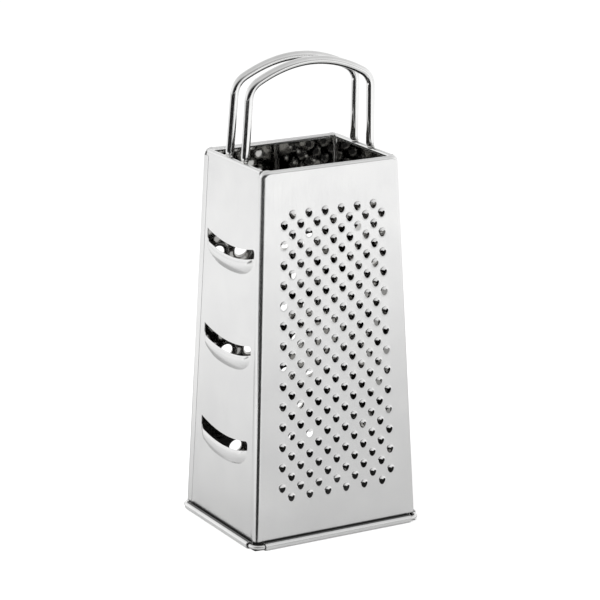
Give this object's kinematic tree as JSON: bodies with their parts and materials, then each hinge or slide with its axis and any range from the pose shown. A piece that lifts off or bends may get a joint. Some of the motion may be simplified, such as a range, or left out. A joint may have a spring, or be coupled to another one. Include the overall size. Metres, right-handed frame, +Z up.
{
  "type": "box grater",
  "caption": "Tapered box grater of pressed steel with rasping, shredding, pricked and slicing sides, a rolled wire foot and an arched wire handle.",
  "frame": {"origin": "on the floor, under the middle of the body", "axes": "+Z up the body, +X along the wide front panel to its right, -Y out of the front panel"},
  "size_m": [0.095, 0.0794, 0.2309],
  "materials": {
    "front_panel": "satin stainless sheet",
    "back_panel": "satin stainless sheet",
    "left_panel": "satin stainless sheet",
    "right_panel": "satin stainless sheet",
    "base_wire": "bright drawn wire",
    "handle_wire_front": "bright drawn wire",
    "handle_wire_rear": "bright drawn wire"
  },
  "bodies": {
    "root": {"front_panel": "front_panel", "back_panel": "back_panel", "left_panel": "left_panel", "right_panel": "right_panel", "base_wire": "base_wire", "handle_wire_front": "handle_wire_front", "handle_wire_rear": "handle_wire_rear"}
  },
  "joints": []
}
